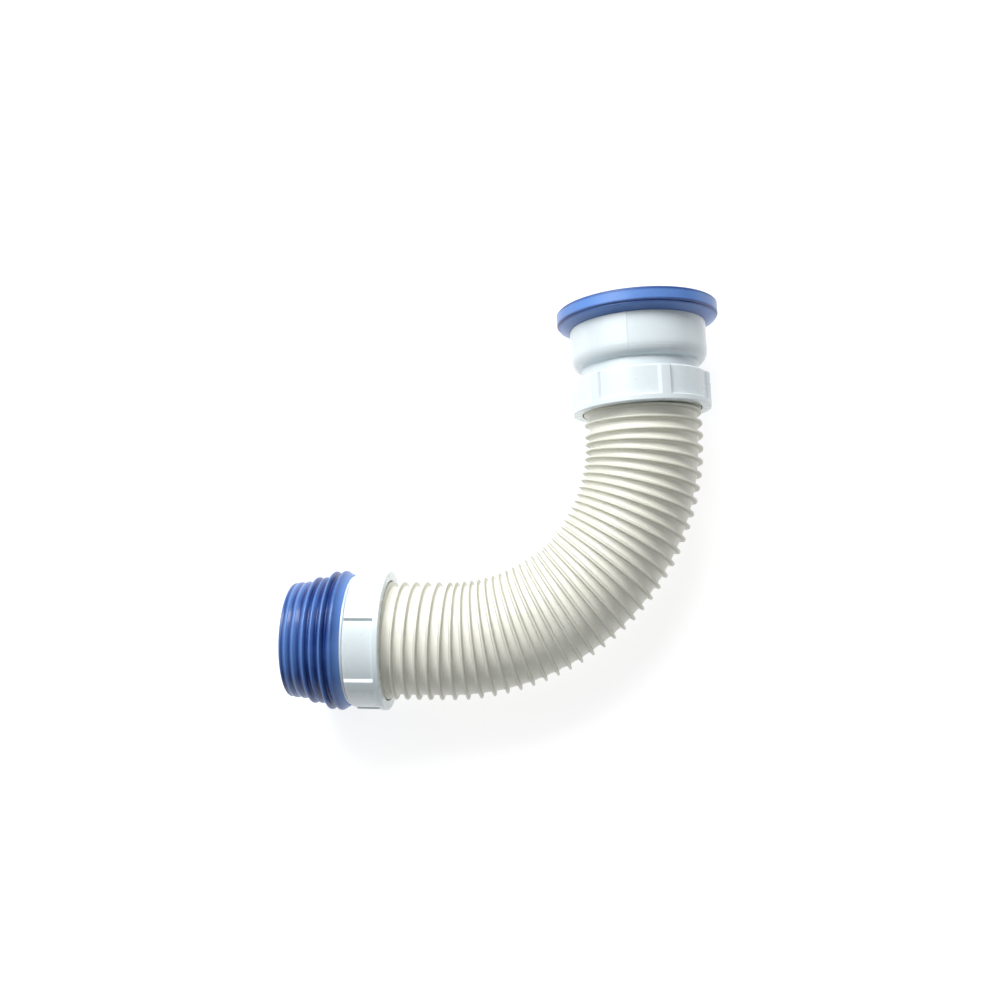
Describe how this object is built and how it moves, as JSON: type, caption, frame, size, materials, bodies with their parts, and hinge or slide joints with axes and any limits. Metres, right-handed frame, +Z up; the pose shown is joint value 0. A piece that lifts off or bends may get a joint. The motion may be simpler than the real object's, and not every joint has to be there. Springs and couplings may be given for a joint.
{
  "type": "flexible soil pipe connector",
  "caption": "Flexible ribbed waste hose in a quarter bend, with union nuts, a finned push-in spigot seal and a lip-seal socket for a toilet outlet.",
  "frame": {"origin": "under the middle of the bounding box, on the surface it lies on", "axes": "+Z up from the surface; the lower end's spigot points roughly along -X and the upper end's socket roughly along +Y"},
  "size_m": [0.3605, 0.3448, 0.1352],
  "materials": {
    "hose_pvc": "satin flexible PVC",
    "hose_end_moulding": "semi-gloss moulded PVC",
    "nut_moulding": "semi-gloss moulded polypropylene",
    "white_moulding": "semi-gloss moulded polypropylene",
    "slip_ring_nylon": "natural nylon",
    "gasket_rubber": "matt EPDM",
    "blue_seal": "glossy translucent thermoplastic elastomer"
  },
  "bodies": {
    "lower_fitting": {"finned_seal": "blue_seal", "spigot": "white_moulding", "lower_gasket": "gasket_rubber"},
    "lower_ring": {"lower_slip_ring": "slip_ring_nylon"},
    "lower_nut": {"lower_union_nut": "nut_moulding"},
    "lower_hose_end": {"lower_cuff": "hose_end_moulding"},
    "turn_01": {"hose_turn_01": "hose_pvc"},
    "turn_02": {"hose_turn_02": "hose_pvc"},
    "turn_03": {"hose_turn_03": "hose_pvc"},
    "turn_04": {"hose_turn_04": "hose_pvc"},
    "turn_05": {"hose_turn_05": "hose_pvc"},
    "turn_06": {"hose_turn_06": "hose_pvc"},
    "turn_07": {"hose_turn_07": "hose_pvc"},
    "turn_08": {"hose_turn_08": "hose_pvc"},
    "turn_09": {"hose_turn_09": "hose_pvc"},
    "turn_10": {"hose_turn_10": "hose_pvc"},
    "turn_11": {"hose_turn_11": "hose_pvc"},
    "turn_12": {"hose_turn_12": "hose_pvc"},
    "turn_13": {"hose_turn_13": "hose_pvc"},
    "turn_14": {"hose_turn_14": "hose_pvc"},
    "turn_15": {"hose_turn_15": "hose_pvc"},
    "turn_16": {"hose_turn_16": "hose_pvc"},
    "turn_17": {"hose_turn_17": "hose_pvc"},
    "turn_18": {"hose_turn_18": "hose_pvc"},
    "turn_19": {"hose_turn_19": "hose_pvc"},
    "turn_20": {"hose_turn_20": "hose_pvc"},
    "turn_21": {"hose_turn_21": "hose_pvc"},
    "turn_22": {"hose_turn_22": "hose_pvc"},
    "turn_23": {"hose_turn_23": "hose_pvc"},
    "turn_24": {"hose_turn_24": "hose_pvc"},
    "turn_25": {"hose_turn_25": "hose_pvc"},
    "turn_26": {"hose_turn_26": "hose_pvc"},
    "turn_27": {"hose_turn_27": "hose_pvc"},
    "turn_28": {"hose_turn_28": "hose_pvc"},
    "turn_29": {"hose_turn_29": "hose_pvc"},
    "turn_30": {"hose_turn_30": "hose_pvc"},
    "turn_31": {"hose_turn_31": "hose_pvc"},
    "turn_32": {"hose_turn_32": "hose_pvc"},
    "turn_33": {"hose_turn_33": "hose_pvc"},
    "turn_34": {"hose_turn_34": "hose_pvc"},
    "turn_35": {"hose_turn_35": "hose_pvc"},
    "turn_36": {"hose_turn_36": "hose_pvc"},
    "turn_37": {"hose_turn_37": "hose_pvc"},
    "turn_38": {"hose_turn_38": "hose_pvc"},
    "upper_hose_end": {"upper_cuff": "hose_end_moulding"},
    "upper_ring": {"upper_slip_ring": "slip_ring_nylon"},
    "upper_nut": {"upper_union_nut": "nut_moulding"},
    "upper_fitting": {"upper_gasket": "gasket_rubber", "pan_socket": "white_moulding", "pan_seal": "blue_seal"}
  },
  "joints": [
    {"name": "bend_lower", "type": "hinge", "parent": "turn_21", "child": "turn_20", "pos_m": [0.0843, -0.08072, 0.04605], "axis": [-0.0818, 0.095, -0.9921], "range_deg": [-4, 1.5], "deforming": ["hose_turn_21", "hose_turn_20"]},
    {"name": "bend_lower_02", "type": "hinge", "parent": "turn_20", "child": "turn_19", "pos_m": [0.07727, -0.0874, 0.04599], "axis": [-0.0818, 0.095, -0.9921], "range_deg": [-4, 1.5], "deforming": ["hose_turn_19"]},
    {"name": "bend_lower_03", "type": "hinge", "parent": "turn_19", "child": "turn_18", "pos_m": [0.06989, -0.0937, 0.046], "axis": [-0.0818, 0.095, -0.9921], "range_deg": [-4, 1.5], "deforming": ["hose_turn_18"]},
    {"name": "bend_lower_04", "type": "hinge", "parent": "turn_18", "child": "turn_17", "pos_m": [0.0622, -0.0996, 0.04607], "axis": [-0.0818, 0.095, -0.9921], "range_deg": [-4, 1.5], "deforming": ["hose_turn_17"]},
    {"name": "bend_lower_05", "type": "hinge", "parent": "turn_17", "child": "turn_16", "pos_m": [0.05421, -0.1051, 0.0462], "axis": [-0.0818, 0.095, -0.9921], "range_deg": [-4, 1.5], "deforming": ["hose_turn_16"]},
    {"name": "bend_lower_06", "type": "hinge", "parent": "turn_16", "child": "turn_15", "pos_m": [0.04595, -0.11018, 0.04639], "axis": [-0.0818, 0.095, -0.9921], "range_deg": [-4, 1.5], "deforming": ["hose_turn_15"]},
    {"name": "bend_lower_07", "type": "hinge", "parent": "turn_15", "child": "turn_14", "pos_m": [0.03744, -0.11482, 0.04665], "axis": [-0.0818, 0.095, -0.9921], "range_deg": [-4, 1.5], "deforming": ["hose_turn_14"]},
    {"name": "bend_lower_08", "type": "hinge", "parent": "turn_14", "child": "turn_13", "pos_m": [0.02869, -0.11901, 0.04697], "axis": [-0.0818, 0.095, -0.9921], "range_deg": [-4, 1.5], "deforming": ["hose_turn_13"]},
    {"name": "bend_lower_09", "type": "hinge", "parent": "turn_13", "child": "turn_12", "pos_m": [0.01975, -0.12274, 0.04735], "axis": [-0.0818, 0.095, -0.9921], "range_deg": [-4, 1.5], "deforming": ["hose_turn_12"]},
    {"name": "bend_lower_10", "type": "hinge", "parent": "turn_12", "child": "turn_11", "pos_m": [0.01063, -0.126, 0.04779], "axis": [-0.0818, 0.095, -0.9921], "range_deg": [-4, 1.5], "deforming": ["hose_turn_11"]},
    {"name": "bend_lower_11", "type": "hinge", "parent": "turn_11", "child": "turn_10", "pos_m": [0.00135, -0.12878, 0.04829], "axis": [-0.0818, 0.095, -0.9921], "range_deg": [-4, 1.5], "deforming": ["hose_turn_10"]},
    {"name": "bend_lower_12", "type": "hinge", "parent": "turn_10", "child": "turn_09", "pos_m": [-0.00806, -0.13107, 0.04885], "axis": [-0.0818, 0.095, -0.9921], "range_deg": [-4, 1.5], "deforming": ["hose_turn_09"]},
    {"name": "bend_lower_13", "type": "hinge", "parent": "turn_09", "child": "turn_08", "pos_m": [-0.01757, -0.13287, 0.04946], "axis": [-0.0818, 0.095, -0.9921], "range_deg": [-4, 1.5], "deforming": ["hose_turn_08"]},
    {"name": "bend_lower_14", "type": "hinge", "parent": "turn_08", "child": "turn_07", "pos_m": [-0.02716, -0.13416, 0.05013], "axis": [-0.0818, 0.095, -0.9921], "range_deg": [-4, 1.5], "deforming": ["hose_turn_07"]},
    {"name": "bend_lower_15", "type": "hinge", "parent": "turn_07", "child": "turn_06", "pos_m": [-0.0368, -0.13496, 0.05085], "axis": [-0.0818, 0.095, -0.9921], "range_deg": [-4, 1.5], "deforming": ["hose_turn_06"]},
    {"name": "bend_lower_16", "type": "hinge", "parent": "turn_06", "child": "turn_05", "pos_m": [-0.04646, -0.13525, 0.05162], "axis": [-0.0818, 0.095, -0.9921], "range_deg": [-2, 0.75], "deforming": ["hose_turn_05"]},
    {"name": "bend_upper", "type": "hinge", "parent": "turn_21", "child": "turn_22", "pos_m": [0.09098, -0.07369, 0.04617], "axis": [0.0818, -0.095, 0.9921], "range_deg": [-4, 1.5], "deforming": ["hose_turn_22"]},
    {"name": "bend_upper_02", "type": "hinge", "parent": "turn_22", "child": "turn_23", "pos_m": [0.09729, -0.06633, 0.04636], "axis": [0.0818, -0.095, 0.9921], "range_deg": [-4, 1.5], "deforming": ["hose_turn_23"]},
    {"name": "bend_upper_03", "type": "hinge", "parent": "turn_23", "child": "turn_24", "pos_m": [0.10321, -0.05864, 0.0466], "axis": [0.0818, -0.095, 0.9921], "range_deg": [-4, 1.5], "deforming": ["hose_turn_24"]},
    {"name": "bend_upper_04", "type": "hinge", "parent": "turn_24", "child": "turn_25", "pos_m": [0.10871, -0.05067, 0.04691], "axis": [0.0818, -0.095, 0.9921], "range_deg": [-4, 1.5], "deforming": ["hose_turn_25"]},
    {"name": "bend_upper_05", "type": "hinge", "parent": "turn_25", "child": "turn_26", "pos_m": [0.11379, -0.04241, 0.04728], "axis": [0.0818, -0.095, 0.9921], "range_deg": [-4, 1.5], "deforming": ["hose_turn_26"]},
    {"name": "bend_upper_06", "type": "hinge", "parent": "turn_26", "child": "turn_27", "pos_m": [0.11844, -0.03391, 0.04771], "axis": [0.0818, -0.095, 0.9921], "range_deg": [-4, 1.5], "deforming": ["hose_turn_27"]},
    {"name": "bend_upper_07", "type": "hinge", "parent": "turn_27", "child": "turn_28", "pos_m": [0.12263, -0.02518, 0.0482], "axis": [0.0818, -0.095, 0.9921], "range_deg": [-4, 1.5], "deforming": ["hose_turn_28"]},
    {"name": "bend_upper_08", "type": "hinge", "parent": "turn_28", "child": "turn_29", "pos_m": [0.12637, -0.01624, 0.04875], "axis": [0.0818, -0.095, 0.9921], "range_deg": [-4, 1.5], "deforming": ["hose_turn_29"]},
    {"name": "bend_upper_09", "type": "hinge", "parent": "turn_29", "child": "turn_30", "pos_m": [0.12963, -0.00713, 0.04935], "axis": [0.0818, -0.095, 0.9921], "range_deg": [-4, 1.5], "deforming": ["hose_turn_30"]},
    {"name": "bend_upper_10", "type": "hinge", "parent": "turn_30", "child": "turn_31", "pos_m": [0.13241, 0.00214, 0.05001], "axis": [0.0818, -0.095, 0.9921], "range_deg": [-4, 1.5], "deforming": ["hose_turn_31"]},
    {"name": "bend_upper_11", "type": "hinge", "parent": "turn_31", "child": "turn_32", "pos_m": [0.13471, 0.01153, 0.05072], "axis": [0.0818, -0.095, 0.9921], "range_deg": [-4, 1.5], "deforming": ["hose_turn_32"]},
    {"name": "bend_upper_12", "type": "hinge", "parent": "turn_32", "child": "turn_33", "pos_m": [0.1365, 0.02103, 0.05148], "axis": [0.0818, -0.095, 0.9921], "range_deg": [-4, 1.5], "deforming": ["hose_turn_33"]},
    {"name": "bend_upper_13", "type": "hinge", "parent": "turn_33", "child": "turn_34", "pos_m": [0.13781, 0.03061, 0.05229], "axis": [0.0818, -0.095, 0.9921], "range_deg": [-4, 1.5], "deforming": ["hose_turn_34"]},
    {"name": "bend_upper_14", "type": "hinge", "parent": "turn_34", "child": "turn_35", "pos_m": [0.1386, 0.04024, 0.05315], "axis": [0.0818, -0.095, 0.9921], "range_deg": [-4, 1.5], "deforming": ["hose_turn_35"]},
    {"name": "bend_upper_15", "type": "hinge", "parent": "turn_35", "child": "turn_36", "pos_m": [0.13889, 0.04989, 0.05405], "axis": [0.0818, -0.095, 0.9921], "range_deg": [-4, 1.5], "deforming": ["hose_turn_36"]},
    {"name": "bend_upper_16", "type": "hinge", "parent": "turn_36", "child": "turn_37", "pos_m": [0.13868, 0.05954, 0.05499], "axis": [0.0818, -0.095, 0.9921], "range_deg": [-2, 0.75], "deforming": ["hose_turn_37"]},
    {"name": "lift_lower", "type": "hinge", "parent": "turn_05", "child": "turn_04", "pos_m": [-0.05605, -0.11413, 0.05443], "axis": [0.0039, 0.9955, 0.095], "range_deg": [-4.5, 4.5], "deforming": ["hose_turn_04"]},
    {"name": "lift_lower_02", "type": "hinge", "parent": "turn_04", "child": "turn_03", "pos_m": [-0.06572, -0.11416, 0.05522], "axis": [0.0039, 0.9955, 0.095], "range_deg": [-4.5, 4.5], "deforming": ["hose_turn_03"]},
    {"name": "lift_lower_03", "type": "hinge", "parent": "turn_03", "child": "turn_02", "pos_m": [-0.07538, -0.1142, 0.05602], "axis": [0.0039, 0.9955, 0.095], "range_deg": [-4.5, 4.5], "deforming": ["hose_turn_02"]},
    {"name": "lift_lower_04", "type": "hinge", "parent": "turn_02", "child": "turn_01", "pos_m": [-0.08505, -0.11424, 0.05681], "axis": [0.0039, 0.9955, 0.095], "range_deg": [-4.5, 4.5], "deforming": ["hose_turn_01"]},
    {"name": "lift_lower_05", "type": "hinge", "parent": "turn_01", "child": "lower_hose_end", "pos_m": [-0.09472, -0.11428, 0.05761], "axis": [0.0039, 0.9955, 0.095], "range_deg": [-4.5, 4.5]},
    {"name": "lift_upper", "type": "hinge", "parent": "turn_37", "child": "turn_38", "pos_m": [0.11705, 0.06799, 0.05758], "axis": [0.9955, 0.056, -0.0768], "range_deg": [-4.5, 4.5], "deforming": ["hose_turn_38"]},
    {"name": "lift_upper_02", "type": "hinge", "parent": "turn_38", "child": "upper_hose_end", "pos_m": [0.11658, 0.07763, 0.05854], "axis": [0.9955, 0.056, -0.0768], "range_deg": [-4.5, 4.5]},
    {"name": "lower_swivel", "type": "hinge", "parent": "lower_hose_end", "child": "lower_fitting", "pos_m": [-0.09472, -0.11428, 0.05761], "axis": [-0.9966, -0.0039, 0.0818], "range_deg": [-180, 180]},
    {"name": "lower_nut_travel", "type": "slide", "parent": "lower_fitting", "child": "lower_ring", "axis": [0.9966, 0.0039, -0.0818], "range_m": [0, 0.0125]},
    {"name": "lower_nut_turn", "type": "hinge", "parent": "lower_ring", "child": "lower_nut", "pos_m": [-0.09472, -0.11428, 0.05761], "axis": [0.9966, 0.0039, -0.0818], "range_deg": [0, 900]},
    {"name": "upper_swivel", "type": "hinge", "parent": "upper_hose_end", "child": "upper_fitting", "pos_m": [0.11658, 0.07763, 0.05854], "axis": [-0.0483, 0.9939, 0.0991], "range_deg": [-180, 180]},
    {"name": "upper_nut_travel", "type": "slide", "parent": "upper_fitting", "child": "upper_ring", "axis": [0.0483, -0.9939, -0.0991], "range_m": [0, 0.0125]},
    {"name": "upper_nut_turn", "type": "hinge", "parent": "upper_ring", "child": "upper_nut", "pos_m": [0.11658, 0.07763, 0.05854], "axis": [0.0483, -0.9939, -0.0991], "range_deg": [0, 900]}
  ],
  "couplings": [
    {"joint": "bend_lower_02", "follows": "bend_lower", "ratio": 1},
    {"joint": "bend_lower_03", "follows": "bend_lower", "ratio": 1},
    {"joint": "bend_lower_04", "follows": "bend_lower", "ratio": 1},
    {"joint": "bend_lower_05", "follows": "bend_lower", "ratio": 1},
    {"joint": "bend_lower_06", "follows": "bend_lower", "ratio": 1},
    {"joint": "bend_lower_07", "follows": "bend_lower", "ratio": 1},
    {"joint": "bend_lower_08", "follows": "bend_lower", "ratio": 1},
    {"joint": "bend_lower_09", "follows": "bend_lower", "ratio": 1},
    {"joint": "bend_lower_10", "follows": "bend_lower", "ratio": 1},
    {"joint": "bend_lower_11", "follows": "bend_lower", "ratio": 1},
    {"joint": "bend_lower_12", "follows": "bend_lower", "ratio": 1},
    {"joint": "bend_lower_13", "follows": "bend_lower", "ratio": 1},
    {"joint": "bend_lower_14", "follows": "bend_lower", "ratio": 1},
    {"joint": "bend_lower_15", "follows": "bend_lower", "ratio": 1},
    {"joint": "bend_lower_16", "follows": "bend_lower", "ratio": 0.5},
    {"joint": "bend_upper_02", "follows": "bend_upper", "ratio": 1},
    {"joint": "bend_upper_03", "follows": "bend_upper", "ratio": 1},
    {"joint": "bend_upper_04", "follows": "bend_upper", "ratio": 1},
    {"joint": "bend_upper_05", "follows": "bend_upper", "ratio": 1},
    {"joint": "bend_upper_06", "follows": "bend_upper", "ratio": 1},
    {"joint": "bend_upper_07", "follows": "bend_upper", "ratio": 1},
    {"joint": "bend_upper_08", "follows": "bend_upper", "ratio": 1},
    {"joint": "bend_upper_09", "follows": "bend_upper", "ratio": 1},
    {"joint": "bend_upper_10", "follows": "bend_upper", "ratio": 1},
    {"joint": "bend_upper_11", "follows": "bend_upper", "ratio": 1},
    {"joint": "bend_upper_12", "follows": "bend_upper", "ratio": 1},
    {"joint": "bend_upper_13", "follows": "bend_upper", "ratio": 1},
    {"joint": "bend_upper_14", "follows": "bend_upper", "ratio": 1},
    {"joint": "bend_upper_15", "follows": "bend_upper", "ratio": 1},
    {"joint": "bend_upper_16", "follows": "bend_upper", "ratio": 0.5},
    {"joint": "lift_lower_02", "follows": "lift_lower", "ratio": 1},
    {"joint": "lift_lower_03", "follows": "lift_lower", "ratio": 1},
    {"joint": "lift_lower_04", "follows": "lift_lower", "ratio": 1},
    {"joint": "lift_lower_05", "follows": "lift_lower", "ratio": 1},
    {"joint": "lift_upper_02", "follows": "lift_upper", "ratio": 1},
    {"joint": "lower_nut_travel", "follows": "lower_nut_turn", "m_per_rad": 0.00079577},
    {"joint": "upper_nut_travel", "follows": "upper_nut_turn", "m_per_rad": 0.00079577}
  ]
}
